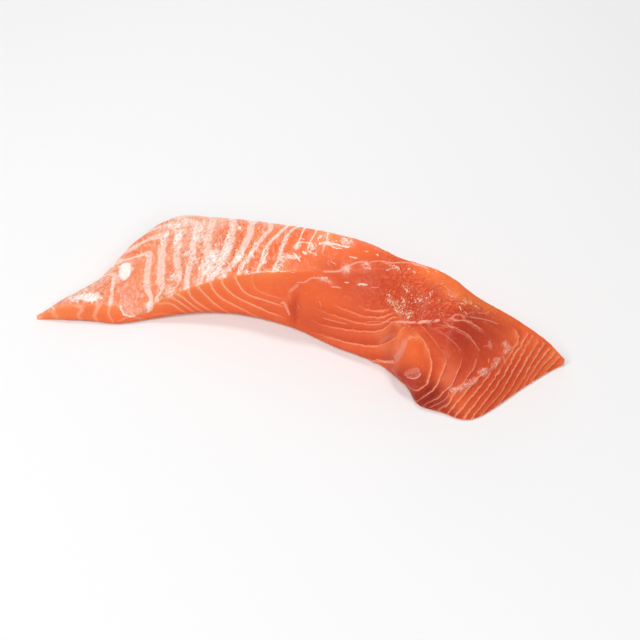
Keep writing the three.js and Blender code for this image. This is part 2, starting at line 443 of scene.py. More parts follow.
# Soft patches of other colours laid over the ground, in this order: a colour and its spots.
patches = {
    "face": [        # on the cut face
        ("amber", (-84, 4, 6, 4, 7)), ("milkAndSheen", (-88.6, 2, 1.8, 4, 5)), ("orange", (-74, 3, 9, 3, 4)),
        ("bright", (-14, 14, 8, 3, 4)), ("muscle", (14, 10, 16, 10, 8.5), (30, 9, 9, 8, 5)),
        ("red", (-2.5, 8, 2.2, 7, 9), (4, 5, 9, 5, 6), (-12, 4, 6, 5, 3), (-35, 0, 20, 2, 3.5)),
        ("bright", (10, 15.5, 5, 2, 4)), ("orange", (-4.8, 13, 0.7, 2.4, 7)),
    ],
    "inner": [       # on the inner side
        ("apricot", (-42, 24, 10, 16, 3.5)),
        ("milkAndSheen", (-80, 13, 5, 5, 10), (-76, 19, 3, 5, 9), (-50, 42.5, 11, 4, 6)),
        # painted highlights: white patches where the wet membrane shines
        ("pearl", (-67.3, 24.6, 1.9, 4, 10), (-72.4, 10, 3, 1.6, 8)),
        # milky membrane; the strip at (-60.5, 47.5) is painted rim light along the far edge
        ("milkAndSheen", (-73, 27, 2.4, 6, 9), (-57, 43.5, 7, 3, 8.5), (-46, 39, 6, 8, 8.5),
         (-60.5, 47.5, 10, 1, 8)),
        ("orange", (-57, 46.3, 6, 0.6, 8), (-67.8, 40.6, 2, 2, 7), (-67, 34, 4, 1.6, 6),
         (-62.8, 10.5, 1.2, 4, 10), (-66.3, 8.5, 1.2, 2.5, 9), (-57.3, 10.5, 1.1, 4, 6),
         (-66, 14.5, 1, 4, 7), (-64, 26, 1.6, 5, 4), (-53, 12, 1.4, 3, 6), (-51, 20.5, 1, 5, 6)),
        # the strip at (-55, 48) is painted rim light along the far edge
        ("milkAndSheen", (-55, 48, 10, 1, 8)), ("ochre", (-47.5, 9, 3, 2.5, 8)), ("orange", (-50, 5.5, 1, 1.4, 9)),
        ("bright", (-36, 32.5, 2.2, 3.5, 7), (-28.6, 33.5, 1.4, 2.6, 7), (-25.4, 18.9, 1.9, 1.6, 9),
         (-19.6, 22, 1.3, 4.5, 8), (-14.4, 29, 1.8, 6.5, 10), (-9.5, 34, 1.5, 6, 9),
         (-13.2, 22.5, 1.2, 2, 9), (-6, 37, 2.6, 9, 10), (-2.5, 27, 5, 5, 10), (8, 30, 9, 12, 10),
         (-14.5, 30, 1.3, 4, 9)),
        ("orange", (-38.2, 37, 1.6, 3, 8), (-41.5, 24, 1.4, 2.6, 7), (-28.6, 28.5, 1, 3, 7),
         (-18.6, 34, 1.2, 5, 8), (-23.5, 37.5, 1.4, 4, 7)),
        ("amber", (2, 41, 6, 4, 8.5)),
        ("orange", (-12, 41, 7, 5, 6), (-32, 43, 1.3, 4, 7), (-26, 44, 1.2, 4, 6)),
        ("bright", (-9.6, 37, 1.2, 4, 9), (-5.4, 39, 1.4, 5, 9)),
        ("film", (-63.4, 16, 1.5, 3, 9), (-61, 11.5, 1.7, 3, 9), (-59.3, 7.5, 1.8, 2.6, 9),
         (-57.6, 4.5, 2.4, 1.6, 8)),
        ("red", (8, 26, 6, 4, 5)), ("bright", (-62.6, 15.6, 0.9, 2.6, 6), (-60.8, 12, 0.6, 3, 3.5)),
    ],
    "whole": [       # on the thick end, where both sides run into each other
        ("muscle", (45, 14, 14, 12, 9)),
        ("red", (44, 28, 18, 8, 10), (62, 24, 9, 9, 9), (72, 12, 13, 12, 9.5)),
        # dark red muscle; at (48, 9) the lower right of the cone painted darker as shade
        ("dark", (57, 26, 8, 4.5, 8.5), (61, 17, 4, 6, 3), (48, 9, 3, 2.6, 5), (62, 30.5, 7, 3, 7)),
        # painted shadow along the foot under the cone
        ("shade", (50, 1, 14, 5.4, 10), (53, 5.4, 5.6, 5, 10)),
        # redder muscle; the dark spot at (39, 1) is painted shadow at the foot
        ("red", (64, 34.5, 9, 3, 9), (47, 37, 4, 3, 7), (10, 24, 14, 6, 7)), ("dark", (39, 1, 6, 4, 10)),
        # painted light: the lit top of the cone, the lit faces of the flakes and the backlit right rim
        ("bright", (44, 15, 3.6, 4.6, 10), (56.5, 12.5, 2.2, 4, 7), (60, 6.6, 1.4, 1.6, 9), (63, 5, 2, 3, 5),
         (75, 31, 3.5, 4, 9), (80, 21, 2.6, 5, 8)),
        # the near lobe beside the cone painted lighter where it is lit
        ("orange", (32.5, 8.5, 4.5, 5.5, 9)),
        # painted yellow highlights along the top of the cone
        ("amber", (37.6, 18.4, 1.6, 2.2, 6), (42, 18.2, 1.4, 0.8, 8), (45, 19.4, 1.7, 0.8, 8),
         (48.6, 18, 1, 1.8, 5), (55.6, 11.2, 0.8, 1.2, 6)),
        # painted sheen at (38.4, 11) on the valley; the dark spots paint shade on the lower cone and shadow
        # at the foot
        ("milkAndSheen", (38.4, 11, 1, 3, 2)), ("dark", (44.5, 5, 4, 3.6, 8), (60, 0.5, 10, 1.4, 7)),
        ("orange", (38, 16, 2.6, 5, 7)), ("red", (24, 25, 9, 9, 7)),
        # painted glow of the backlit rim along the far top and at the tip
        ("rim", (44, 43, 14, 4, 10), (60, 40, 9, 2.4, 9), (86, 9, 2.4, 6, 8), (28, 44, 12, 4, 8)),
    ],
}

# Strokes drawn over the surface: width in mm, amount in tenths, and the points it runs through.
strokes = {
    "threadsAndSheens": [       # smooth threads of fat and edges of membrane, and a few painted sheens on the cone
        (0.6, 8.5, (35.5, 18.7), (37.8, 20.8), (40, 22.2), (42.3, 23.2), (44.5, 24)),
        (0.8, 10, (43.6, 23.6), (44.6, 24.1), (46, 25.3), (48, 26.5), (49.5, 28), (51, 28.8), (51.9, 29.2)),
        (0.9, 9, (49, 27.6), (50, 28.3), (51.2, 28.8)),
        (0.4, 5, (51.7, 29.2), (53.5, 30.1), (55.2, 30), (56.6, 30.4), (58.3, 31)),
        (0.3, 2.5, (58.3, 31), (59.6, 30.3), (61, 30), (64, 29.8)),
        (0.4, 5, (51.2, 28.5), (53, 28.7), (54.5, 28), (56, 27)),
        (0.35, 2.8, (55.6, 27.2), (58, 26.6), (60.5, 26), (63.4, 24.9)),
        (0.45, 5.5, (55, 30.8), (54.6, 31.4), (55.3, 32.1), (56.8, 32.4), (58.6, 32.5), (60.4, 33.2),
         (62.4, 34.2), (64.5, 34.9), (67.5, 35.4)),
        (0.35, 3, (59, 33.2), (59.3, 34.6), (60.5, 35.6), (62.3, 36.3), (63.2, 37.4), (64.2, 38.8)),
        (0.35, 2.5, (46.4, 25.2), (50, 25.6), (53, 25.2), (56, 23.5), (59.6, 20.8)),
        (0.35, 4, (24, 12.6), (30, 15.3), (35, 17.9), (37.4, 20.6)),
        (0.5, 7, (-2.8, 18.2), (-0.1, 18.8), (1.3, 20), (2.2, 20.9), (4.5, 21.6), (6.4, 21.5), (9.7, 21.4)),
        (0.6, 8.5, (5.3, 24.1), (8.1, 24.9), (11.3, 26.2), (12.3, 28), (14.3, 29.6), (17.1, 31.8),
         (20.6, 32.2)),
        (0.5, 7, (9.2, 20), (11.4, 20.7), (13.2, 20.9)), (0.5, 6, (18.7, 29.9), (21.5, 30.6), (21.9, 30)),
        (0.4, 5, (26.7, 31.5), (28.1, 32.3), (29.5, 33.3), (32, 34.1)),
        (0.35, 5, (23.1, 24.3), (26.7, 25.5)),
        (0.4, 6.5, (20.2, 32.6), (24, 33.9), (28.3, 34.7), (30.5, 35.8), (33.3, 37.2), (36.2, 39.2)),
        (0.6, 9, (35.2, 38.6), (37.5, 40), (39.6, 41.5), (42.5, 42.6)),
        (0.9, 6, (-8, 8.6), (-6.6, 9.6), (-5.6, 8.2), (-4.8, 6.8), (-4, 5)),
        (1.1, 4.5, (-4.9, 14), (-3.6, 15.6), (-1.6, 18)), (0.4, 4, (-1.4, 10.6), (-0.6, 8.8)),
        (0.4, 4, (8, 9), (12, 9.4), (18, 10.2)), (0.4, 3.5, (6, 14.6), (7, 13), (7.2, 12)),
        # painted highlight: the pink sheen down the valley left of the cone, and a soft sheen on the lobe
        # beside it
        (1.8, 4, (40.6, 17.5), (40.2, 15), (39.4, 12), (38.2, 9.4), (36.6, 6.6)),
        (0.7, 8, (37.8, 8.4), (36.7, 6.3), (34.6, 3.6), (32.3, 1.9), (29.1, 1)),
        (1.2, 1.6, (29.5, 6.6), (32, 10), (35, 13.6), (36.8, 16.2)),
        # the pale leaf on the cone: a fat spot with a painted highlight on it
        (0.4, 7.5, (42.3, 4.8), (44.6, 5.3), (46.9, 7.3), (48.1, 9.2), (48.5, 11)),
        (1.6, 3.2, (42.4, 5), (44, 6.9), (46, 8.9), (48, 10.9)),
        (0.3, 4, (72.5, 33), (73, 29.7), (72.8, 28.3)), (0.5, 4, (41.2, 18.6), (43, 18.6), (45, 19.2)),
        (0.4, 3.5, (58.2, 7.6), (58.6, 6), (57.5, 4), (55.4, 2.2), (53, 0.4)),
        (0.3, 4.5, (63.9, 21.4), (63.8, 18.6), (63.6, 16)), (0.35, 5, (67.2, 23), (67.6, 20.4)),
        (0.3, 4, (71, 24), (71.6, 21), (72.6, 18)), (0.5, 5, (-61.3, 1.2), (-57.5, 2.7), (-53, 1)),
    ],
    "whiteShredsAndGlints": [      # torn white membrane, and painted cream and white glints
        # painted cream highlight along the shoulder edge
        (0.35, 6, (-22, 17), (-17, 18.5), (-12, 19.9), (-6, 21.4)),
        (0.45, 8, (-61.6, 7.6), (-60.6, 5.6), (-59.2, 3.7), (-57, 2.9), (-55.6, 3.3)),
        # painted white glints on the wet membrane of the thin end
        (3.2, 7.5, (-68.9, 29), (-68, 26), (-66.9, 23.4), (-66.4, 21.2)),
        (1.6, 6, (-76.5, 9), (-73.6, 10.4), (-70.4, 13)), (1.2, 5, (-74, 8.4), (-71, 9.6), (-69, 11)),
        (1.4, 7, (-52.4, 8), (-52.4, 6), (-52.2, 4.4)), (0.6, 9, (-23.3, 22.6), (-23, 20.3), (-22.9, 18.2)),
        (0.5, 9, (-18.1, 29), (-17.8, 26.5), (-17.2, 23.6)), (0.6, 7, (-16.1, 28), (-16.4, 25), (-16, 22.4)),
        (0.4, 9, (-9.4, 28.9), (-7.5, 27.6), (-5.6, 26.8)),
        (0.6, 10, (-7.6, 29.8), (-5.4, 28.3), (-3.6, 26.7), (-2.8, 26.3)),
        (0.8, 10, (-4.4, 31.2), (-3.2, 30.5), (-2.2, 29.8)),
        (0.5, 10, (-2.6, 32), (-1.4, 31.2), (-0.4, 30.6)), (0.4, 6, (0.3, 32.2), (0.9, 30.8), (1.6, 29.4)),
        (0.5, 8, (-2.8, 34.8), (-1.6, 33.4), (-0.3, 32)),
        (0.5, 9, (0.3, 35), (1.8, 36.2), (4.1, 35.7), (7, 34.9), (9.5, 35)),
        (0.45, 9, (-1.1, 38.9), (0.1, 39.1), (-0.6, 37.6), (0.1, 36.5)), (0.4, 7, (1.7, 42.4), (4.4, 42.2)),
        (0.5, 8, (0.6, 42.5), (1.7, 40.7), (2.2, 38.5), (3.2, 37.5)), (0.4, 6, (-7.9, 36.8), (-4.8, 36.4)),
        (0.4, 7, (8.6, 37.8), (9.4, 40.4), (10.6, 41.4)), (0.4, 7, (9.4, 40.4), (11, 39.6), (11.8, 37.8)),
        (0.5, 8, (-8, 34.5), (-5.6, 35), (-3.1, 35.3), (-2, 34.6), (-0.6, 32.7)),
        (0.5, 7, (-8.1, 31.6), (-7.2, 33.4), (-7.2, 35)), (0.4, 7, (-2.4, 31.4), (0.3, 30.6), (1.7, 29.7)),
        (0.7, 10, (3.2, 38.5), (3.1, 36.8), (6, 36.4), (9.5, 36.4), (11.6, 36.9)),
        (1.1, 10, (5.2, 38.4), (6.2, 37.5)), (0.5, 9, (8.8, 38.2), (9.9, 39.4), (11, 38.6)),
        (0.5, 9, (-12.2, 22), (-10.6, 21.3), (-8.6, 20.9)), (0.4, 9, (-11.3, 26), (-10.2, 27.4), (-9, 26.9)),
        (0.5, 9, (-10.2, 23), (-9.2, 23.4), (-8.2, 22.4)), (0.4, 8, (-5, 21.2), (-3.4, 21.6)),
        (0.3, 7, (7, 28.7), (8.4, 28.2), (9.6, 28)),
        # from here on mostly painted cream glints on the muscle
        (0.4, 5, (0.8, 43.2), (3.5, 43.4), (6.4, 42.8), (10.9, 42)), (0.6, 8, (17.1, 36), (19, 36.2)),
        (0.6, 8, (21.5, 36), (23.2, 36)), (0.5, 8, (12.1, 32.7), (15.9, 32.9)),
        (0.5, 7, (17.8, 23.9), (20.5, 24.6), (22.3, 25.3)), (0.5, 7, (13.3, 23), (15.6, 23.7)),
        (0.4, 6, (45, 35.1), (45.8, 34), (46.3, 33)), (0.4, 8, (55.2, 35.8), (56.8, 33.9)),
        (0.4, 7, (57.5, 34.4), (58.6, 32.8)), (0.4, 5, (27, 31.4), (28.4, 32.6)),
        (0.6, 9, (34.6, 36), (36, 37)), (0.4, 7, (36.9, 37), (38.3, 38.2)),
    ],
    "foldShades": [      # painted shade in folds and beside raised edges
        (0.45, 8, (-84.5, 6.5), (-80, 10.4), (-75.5, 13.4)), (0.4, 7, (-81.5, 7.4), (-77.5, 10.4)),
        (0.5, 8, (-78.5, 13.1), (-76.1, 17.4), (-72.6, 21.3), (-71.6, 23)),
        (0.4, 7, (-77.2, 16.4), (-75.8, 18.7), (-73.5, 20.7)),
        (0.5, 8, (-75.5, 12.5), (-74.8, 14.7), (-73.7, 15.1)),
        (0.5, 9, (-73.7, 14.1), (-71.2, 15.6), (-70, 18.7), (-70.4, 21.7)),
        (0.5, 8, (-72, 13), (-70.1, 12.7), (-68.5, 11.3)), (0.4, 6, (-72.6, 24), (-71.8, 28)),
        (0.4, 6, (-49.6, 9.6), (-47.2, 9), (-45, 10.6)), (0.35, 5, (-48.4, 11), (-46.2, 12.6), (-44.8, 15)),
        (0.35, 5, (-49, 6.8), (-46, 8.6), (-43.6, 10.2)),
        (0.4, 8, (-23.4, 31.5), (-23.2, 27), (-23.3, 22.6)),
        (0.5, 9, (-17.4, 29.5), (-17.1, 26.5), (-16.8, 23)), (0.5, 6, (-28.6, 27), (-28.4, 23.5), (-29, 21)),
        (0.4, 5, (-35.4, 30.5), (-34.2, 26), (-33.6, 20)), (0.4, 4, (-38, 37), (-36, 33.5), (-34.6, 30.8)),
        (0.6, 5, (-5.2, 12), (-4.4, 9.6), (-3.6, 6)), (1, 2.5, (-1, 15), (-2.2, 12), (-2.4, 8), (-2, 3)),
        (0.4, 6, (38, 19.8), (40.2, 21.3), (44.2, 23), (47, 25.2), (50, 27.3), (52, 28.2)),
        (1.6, 3.5, (46.6, 23), (50.5, 21.4), (54, 19), (56, 16.5)), (1.2, 3, (59.5, 26.5), (62.4, 25.4)),
        (0.4, 6, (55.6, 31.3), (57.5, 31.6), (60, 32.2), (64, 33.9)),
        (2.2, 5, (41.6, 6), (40.4, 4), (37.6, 2)),
    ],
    "fibres": [      # the ragged pale edge where the flakes of the thick tip begin
        (1.3, 10, (66.3, 28.6), (66.5, 27.1), (67, 25.7)), (1, 8, (63.1, 23.5), (63.9, 24.2)),
        (1.2, 10, (70.2, 29.6), (70.7, 27.5), (71.8, 25.5), (72.9, 24)),
        (0.9, 9, (70.6, 26.4), (71.4, 24.8), (72.2, 23)), (1.4, 10, (69, 23.4), (69.6, 21.6), (70.3, 19.8)),
        (1.3, 9, (70.2, 20.4), (68.9, 19.4), (67.6, 18.4), (67, 17.4), (66.2, 15.8), (65.3, 14.2),
         (64, 12.4), (62.6, 10.8), (61.2, 9.2), (59.6, 8.2), (58.2, 7.6)),
        (2.2, 10, (67.6, 19.2), (66.8, 17.2), (66, 15.4)), (0.9, 7, (62.9, 13.8), (63.6, 12.6)),
    ],
}

# Soft densities of small things.
spots = {
    "faint": [       # where the rings fade out
        (50, 25, 10, 4, 8), (58, 20.5, 5, 4, 8.5), (38, 19, 3, 4, 5), (41, 15, 1.6, 6, 9),
        (43, 20.3, 2.4, 1.6, 9), (50, 1, 13, 4.5, 7), (52, 18.5, 9, 3, 4),
    ],
    "sparkle": [     # wet white glitter on the wrinkled membrane
        (-37, 24.5, 2.8, 5, 9), (-32, 24.5, 2.6, 7, 9), (-26.2, 23.8, 2, 3.6, 9.5), (-36, 18.5, 2, 3.5, 6),
        (-31.5, 17, 3.5, 2, 6), (-22, 25, 1.2, 6, 6), (-71.8, 9.8, 3, 2.2, 10), (-76, 11, 4, 1.6, 7),
        (-78.5, 9.5, 4, 2, 4), (-59, 37.8, 1, 2.8, 16), (-54, 36.8, 1.2, 3.6, 13),
        (-51.4, 31.6, 0.9, 2.2, 9), (-47.3, 34, 1.2, 4.5, 7), (-57, 44, 7, 2, 6), (-48, 40, 5, 5, 4),
        (-45, 20, 4, 6, 2), (-33.5, 38, 3, 7, 3.5), (-27, 40, 3, 4, 3), (-31.6, 38.3, 0.9, 0.8, 7),
        (-20, 18, 8, 0.8, 5), (-13, 19.4, 5, 0.6, 5), (-68.5, 27.6, 1.2, 1.2, 10), (-67.6, 26, 1.6, 1.8, 10),
        (-66.8, 23.8, 1.6, 2, 10), (-66, 21.5, 1.2, 2.2, 10), (-73, 24, 1.6, 8, 4), (-77.5, 15.5, 2, 3, 4),
    ],
    "torn": [        # where the membrane has torn into curls, painted white partly as glints
        (-10, 26, 1.8, 3, 6), (-10, 22, 1.8, 1.2, 7), (-6.8, 33.3, 1.3, 2.4, 7), (-1.2, 33.3, 1.5, 1.6, 7),
        (-6, 27.8, 2.4, 1.2, 7), (-0.5, 38.3, 1, 1.5, 6), (3.5, 37, 1.6, 1.8, 6), (9.6, 38.3, 2, 1.2, 8),
        (7.9, 41.5, 1, 3, 6), (1.6, 35.6, 1.4, 1, 6), (-17, 27, 0.9, 4, 6), (-16.4, 23, 1.3, 1.4, 8),
        (-12, 33, 1, 6, 6), (-48, 17.5, 2, 2, 8), (-47, 28, 2, 1.6, 8), (-42.4, 23.8, 1.6, 2, 8),
        (-47, 11, 2, 3, 6), (-36, 31, 3, 1.2, 5), (-45, 35, 2, 4, 5), (6, 22, 3, 1, 5), (5, 43.4, 8, 0.8, 6),
        (13.5, 27.5, 1.5, 1.3, 6), (20, 31.8, 1.6, 0.5, 7), (26.7, 34.3, 1.2, 0.4, 6),
    ],
    "specks": [      # painted cream glints on the smooth wet muscle above the crease
        (36, 23, 1.3, 0.9, 10), (34.2, 21.6, 1.4, 1, 8), (41.2, 30.2, 0.8, 0.6, 8), (37.4, 31.6, 1.6, 1, 5),
        (36.8, 30.6, 0.7, 0.5, 7), (43, 30.8, 0.9, 0.6, 4), (40.5, 26, 1.1, 0.6, 7), (35.4, 23.6, 3.4, 2, 6),
        (32.4, 23.2, 1, 0.6, 6), (39.6, 23.9, 1.4, 0.9, 7), (40.9, 25.8, 0.8, 0.6, 6), (30, 34.2, 4, 0.9, 6),
        (36.4, 37.2, 1.6, 0.7, 7), (42.5, 41.4, 1.8, 0.5, 8), (20.4, 30.2, 1.8, 0.7, 7),
        (20.8, 38, 1.2, 0.4, 9), (46, 34.1, 0.5, 1.2, 6), (38.8, 28.2, 0.5, 0.4, 8),
        (44.2, 25.8, 0.8, 0.5, 8), (46.7, 28.4, 0.4, 0.4, 9), (50.3, 30, 0.4, 0.4, 9),
        (48.8, 34.1, 0.4, 0.4, 8), (52.4, 35.3, 1.2, 0.4, 9), (52.6, 33.4, 0.4, 0.4, 7),
        (58.2, 33, 0.9, 0.7, 8), (57.4, 38.3, 1.8, 1.2, 7), (53, 38.2, 0.9, 0.6, 6),
        (38.6, 24.6, 1.6, 1.4, 6), (36.4, 26.8, 1.5, 0.8, 7), (38, 27, 5, 5, 2.5), (46, 31, 9, 4.5, 2.6),
        (52, 37.5, 9, 2.2, 2.8), (44, 20.6, 2, 0.8, 6), (30.7, 24.8, 1, 0.9, 8), (30.7, 33.9, 1.4, 0.8, 8),
        (31, 22.8, 1.6, 1, 7), (34.8, 30.4, 2, 0.6, 5), (28.3, 24.3, 1.6, 0.6, 6), (49.9, 40, 2.4, 0.5, 8),
        (55.6, 36.7, 1.6, 0.7, 6), (60.4, 37.6, 1.6, 0.4, 7), (44, 32.4, 1.2, 0.8, 4),
        (39.9, 20.6, 1.8, 1.1, 6),
    ],
    "film": [        # thin pink skin that dulls the muscle under it
        (7.3, 21.5, 2.4, 0.9, 9), (13, 27.8, 1.8, 2, 10), (19.2, 31.4, 2, 1.1, 9), (27, 34.4, 1.3, 0.6, 9),
        (52.5, 38.4, 2, 1.2, 5), (-7, 32.5, 1, 2, 8), (9.8, 38, 2.8, 1.8, 8), (-46, 41, 6, 5, 6),
        (-80, 11, 6, 3, 6), (-52, 30, 12, 14, 3), (-68, 22, 4, 8, 3),
    ],
}

relief = {
    "bands": 0.16,           # mm that the muscle swells between two bands
    "cut": 0.14,
    "flakes": 0.34,          # step down from each ring to the next
    "wrinkles": 0.16,        # fine folds of the membrane on the inner side
    "waves": 0.21,           # slow unevenness over the whole piece
    "grain": 0.05,
    # raised (+) and sunken (-) lines: reach to each side, height, points
    "folds": [
        (1.7, -1, (42.5, 19), (40.6, 14), (38.6, 9), (35.4, 4), (31, 1)),
        (2.2, 0.6, (44, 19.5), (43.4, 15), (42, 10), (39.5, 5)),
        (0.7, 0.3, (36.4, 19.4), (38.7, 21.5), (44.9, 24.2), (50.1, 28.3), (53.5, 29.6)),
        (0.9, -0.3, (36.4, 18), (38.7, 20), (44.9, 22.8), (50.1, 26.8), (53.5, 28.4)),
        (0.6, 0.25, (55.1, 30.9), (54.8, 31.4), (55.4, 32.1), (60.1, 32.6), (66.6, 35.6)),
        (0.9, 0.35, (70, 19.9), (67.4, 18.3), (65.5, 14), (62, 10), (58.4, 7.7)),
        (1.3, 0.3, (41.6, 4.3), (46, 8.5), (48.4, 11.2)), (2, 0.25, (-69.6, 28.6), (-64.8, 20.4)),
        (0.7, 0.25, (-61, 5.8), (-57, 3.2), (-53.4, 4.6)),
    ],
}

fleshColours = {
    "cut": (0.89, 0.155, 0.045),       # muscle on the long cut face
    "inner": (0.9, 0.29, 0.13),       # muscle under the membrane of the inner side
    "muscle": (0.72, 0.1, 0.03),
    "red": (0.6, 0.065, 0.02),
    # dark red muscle, also painted shade under the cone, at the foot and behind each ring line
    "dark": (0.49, 0.037, 0.017),
    # painted shadow along the foot
    "shade": (0.22, 0.012, 0.008),
    # also painted highlights on the cone's top and under the shoulder
    "amber": (0.93, 0.27, 0.075),
    # orange flesh, also painted light on the near lobe and on the ring flakes
    "orange": (0.9, 0.21, 0.075),
    # orange flesh, also painted light on the thick end
    "bright": (0.9, 0.15, 0.035),
    # painted glow of the backlit rim, also orange flecks on the membrane
    "rim": (0.92, 0.2, 0.045),
    "apricot": (0.9, 0.36, 0.2),
    "ochre": (0.85, 0.3, 0.12),
    # milky membrane, also painted sheen and rim light
    "milkAndSheen": (0.94, 0.61, 0.48),
    "film": (0.93, 0.43, 0.32),
    "line": (0.98, 0.42, 0.24),
    "ringLine": (0.98, 0.32, 0.165),
    "band": (0.98, 0.66, 0.56),
    "bandEdge": (1, 0.84, 0.75),
    # fat threads and membrane edges, also painted sheen on the cone
    "seamAndSheen": (0.96, 0.44, 0.33),
    # torn membrane, and painted cream glints
    "shredAndGlint": (1, 0.8, 0.62),
    "fibre": (0.95, 0.52, 0.44),
    # painted cream glints on the muscle
    "speck": (1, 0.62, 0.34),
    "sparkle": (1, 0.95, 0.89),
    # pale film and a painted wet sheen over the membrane
    "frostAndSheen": (0.97, 0.74, 0.67),
    # painted white highlight
    "pearl": (1, 0.88, 0.82),
    # painted shade of folds and raised edges
    "foldShade": (0.66, 0.34, 0.26),
    # painted shade in the crevices of the film
    "gap": (0.86, 0.46, 0.27),
}

gloss = {
    "roughness": 0.42,
    "coat": 0.08,
    "skinCoat": 0.22,        # added where the membrane covers the muscle
    "wetCoat": 0.4,          # added on glitter, shreds and curls
}

sameAllOver = {
    "Subsurface Weight": 0.12,
    "Subsurface Radius": (1, 0.35, 0.2),
    "Subsurface Scale": 1.2 * mm,
    "Coat Roughness": 0.12,
    "IOR": 1.33,
    "Specular IOR Level": 0.3,
}


def pieces(along, up, points):
    # for each piece of a line: how far off every place lies, on which side, and how far along
    before = 0
    for (x, b), (run, rise) in zip(points, np.diff(points, axis=0)):
        length = math.hypot(run, rise)
        t = np.clip(((along - x) * run + (up - b) * rise) / length ** 2, 0, 1)
        dx, db = along - x - t * run, up - b - t * rise
        yield np.hypot(dx, db), np.where(run * db > rise * dx, 1, -1), before + t * length
        before += length


def strokeField(along, up, lines, taperLength=1.2, tipShare=0.35, full=0.5, gone=1.1):
    # the nearest stroke: how far across it a place lies, half its width, how strongly it shows
    nearest = np.full(along.shape, 99.0)
    field = np.full((*along.shape, 3), (0, 0.3, 0))
    for width, tenths, *points in lines:
        half = width / 2
        fine = catmullRom(np.array(points, float), np.linspace(0, len(points) - 1, 4 * len(points)))
        length = np.linalg.norm(np.diff(fine, axis=0), axis=1).sum()
        for away, side, far in pieces(along, up, fine):
            taper = smooth(np.minimum(far, length - far), 0, taperLength)
            shown = tenths / 10 * smooth(away - half, gone, full) * smooth(taper, 0, 0.5)
            closer = away - half < nearest
            nearest[closer] = (away - half)[closer]
            thinned = half * (tipShare + (1 - tipShare) * taper)
            field[closer] = np.stack([away * side, thinned, shown], axis=-1)[closer]
    return field


def foldHeight(along, up):
    total = np.zeros(along.shape)
    for reach, height, *points in relief["folds"]:
        away = np.min([away for away, _, _ in pieces(along, up, np.array(points, float))], axis=0)
        total += height * np.exp(-(away / reach) ** 2)
    return total


def stripLooks(grid, marks):
    middles = [mark + arcSteps // 2 for mark, (_, arcSteps, _) in zip(marks, strip["corners"])]
    x = grid[..., 0]
    b = aroundDistance(grid, middles[0])
    shoulder, ridge, back, whole = (b[:, [k]] for k in (*middles[2:], middles[0] - 1))
    # the cut on the far side mirrors the near one, and the underside shows bands like the inner side
    farSide = b > (shoulder + ridge) / 2
    up = np.where(farSide, back - b, b)
    under = smooth(b, back - 0.3, back + 0.9)
    overBands = np.where(under > 0, 12 + (whole + 0.5 - b) * 0.9, b)

    # near the thin end a flap of the inner side hangs down over the cut face
    hem = shoulder - byPlace(edges["hem"], x)
    cutFace = smooth(b, hem + 0.4, hem - 0.4)
    nearRidge = smooth(b, ridge - 0.5, ridge + 1.5)
    inner = (1 - cutFace) * (1 - nearRidge)
    facing = np.clip(cutFace + nearRidge * (1 - under), 0, 1)
    below = np.where(farSide, b - ridge, shoulder - b)

    wobble = lumps(grid, 9, 3)
    bands = phaseOf(septa["bands"].items(), x, overBands)
    bands += (0.05 * wobble + 0.05 * lumps(grid, 3, 4)) * smooth(x, -72, -50)
    cut = phaseOf(septa["cut"].items(), x, up) + 0.03 * wobble
    rings = phaseOf([*septa["rings"].items(), *nearRings.items()], x, up)
    rings += 0.02 * wobble + 0.05 * lumps(grid, 2.6, 5)
    print("  fat lines numbered from", round(float(bands.min()), 1), "to", round(float(rings.max()), 1))

    crease = byPlace(edges["crease"], x)
    # where each family shows, and where it fades out
    factors = {
        "bands": [inner, smooth(x, 6, -1), 1 - smooth(x, -10, -8) * smooth(b, 34, 30)],
        "cut": [facing, smooth(x, -4, -12), smooth(cut, 11.4, 10.4),
                1 - np.exp(-((x + 53) / 5.5) ** 2),        # none under the flap
                1 - 0.7 * smooth(x, -22, -16) * smooth(up, 12, 15), 0.45 + 0.55 * smooth(up, 0, 6)],
        "rings": [facing, smooth(x, 1, 20), smooth(up, crease + 0.2, crease - 0.6), smooth(rings, 0.3, 0.7),
                  1 - 0.8 * smooth(x - 0.55 * (up - 20), 72, 80) * smooth(up, 14, 22),
                  1 - 0.95 * smooth(up, 15, 20) * smooth(x, 61, 65) * smooth(x, 74, 71),
                  1 - blobs(x, up, spots["faint"]), 1 - 0.6 * smooth(x, 34, 20) * smooth(up, 0, 20)],
    }
    found = {"x": x, "up": up, "b": b, "inner": inner, "under": under, "facing": facing, "below": below,
             "above": smooth(up, crease - 0.8, crease + 1.2)}
    for name, phase in (("bands", bands), ("cut", cut), ("rings", rings)):
        strength = math.prod(factors[name])
        width = byPlace(thickness[name], phase) * (1 - blobs(x, b, slim[name]))
        if name == "bands":
            strength = np.maximum(strength, under * 0.8)
        if name == "cut":
            width = width * (1 + 0.9 * np.exp(-np.maximum(below, 0) / 1.2))
        found[name] = phase, width, strength
    return found


def groundColour(found):
    x = found["x"]
    # painted highlight: the cut is painted yellower just under the shoulder
    shoulderLight = found["facing"] * np.exp(-np.maximum(found["below"], 0) / 2.5) * smooth(x, 0, -12) * 0.8
    layers = [(1, "cut"), (np.clip(found["inner"] * smooth(x, 14, 0) + found["under"], 0, 1), "inner"),
              (shoulderLight, "amber")]
    share = {"face": found["facing"], "inner": found["inner"],
             "whole": smooth(x, 2, 16) * (1 - found["under"])}
    for side, groups in patches.items():
        up = found["up" if side == "face" else "b"]
        layers += [(blobs(x, up, [spot]) * share[side], name) for name, *group in groups for spot in group]
    colour = np.zeros((*x.shape, 3))
    for amount, name in layers:
        colour += np.expand_dims(amount, -1) * (fleshColours[name] - colour)
    return colour


